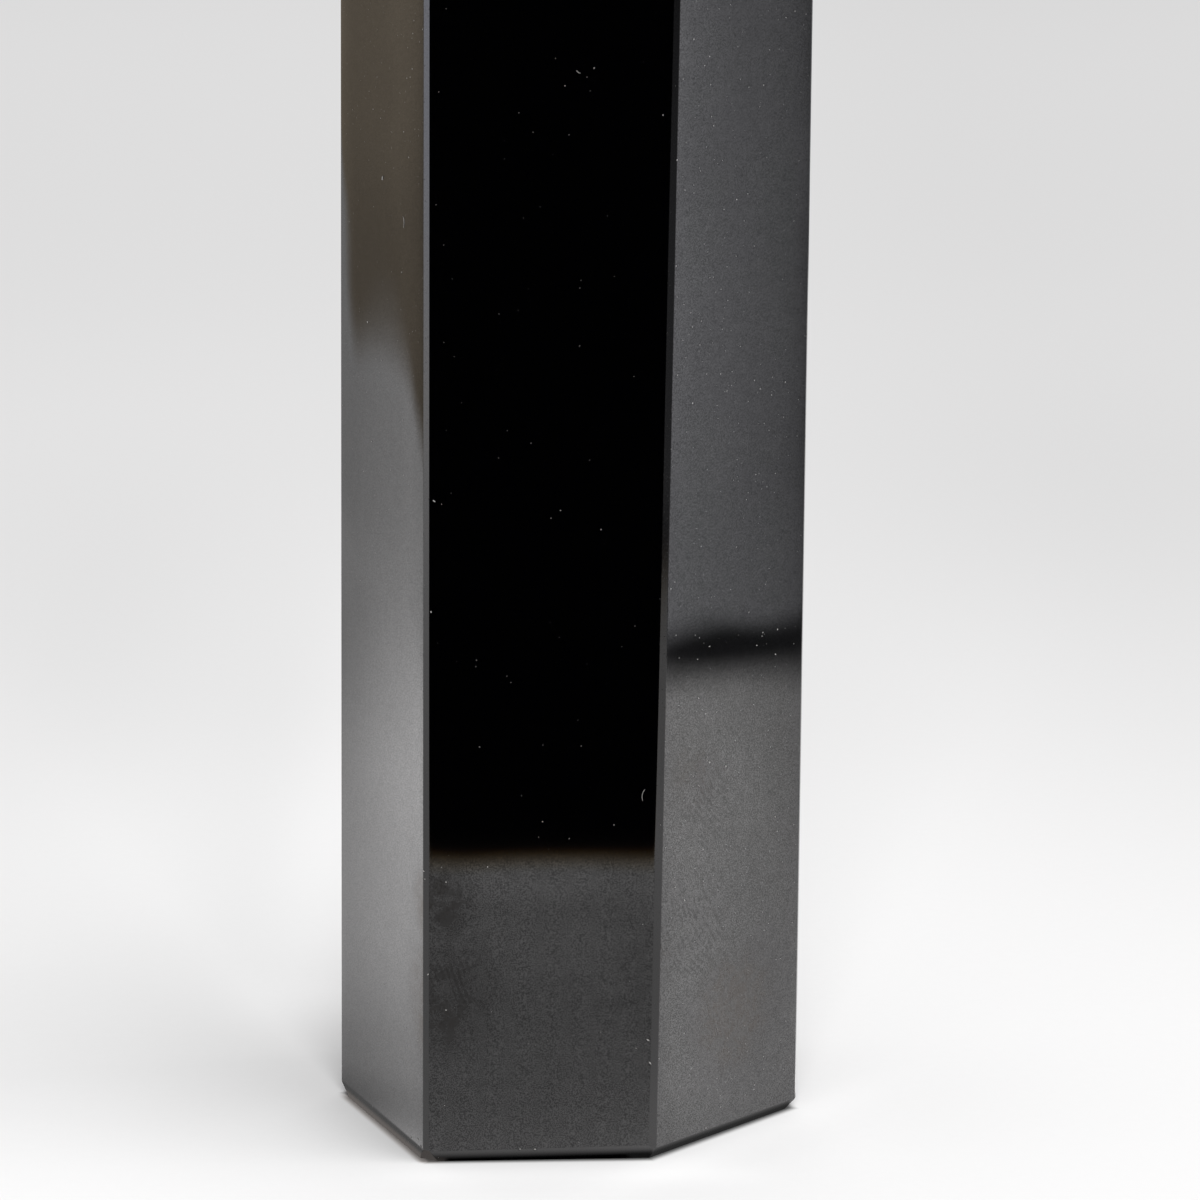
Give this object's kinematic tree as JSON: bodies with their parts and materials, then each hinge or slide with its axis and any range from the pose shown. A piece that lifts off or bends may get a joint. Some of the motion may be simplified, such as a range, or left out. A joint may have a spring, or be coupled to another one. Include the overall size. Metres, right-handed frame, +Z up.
{
  "type": "obsidian point",
  "caption": "Hand-cut, polished tower of black volcanic glass: hexagonal body, faceted point, narrow bevelled edges, stands on its flat base.",
  "frame": {"origin": "centre of the part's box, on the flat base that it stands on", "axes": "+Z up along the tower towards its tip; -Y is the front, out of the middle one of the three sides that face the viewer"},
  "size_m": [0.0336, 0.0294, 0.1109],
  "materials": {
    "obsidian": "polished"
  },
  "bodies": {
    "root": {"obsidian_point": "obsidian"}
  },
  "joints": []
}
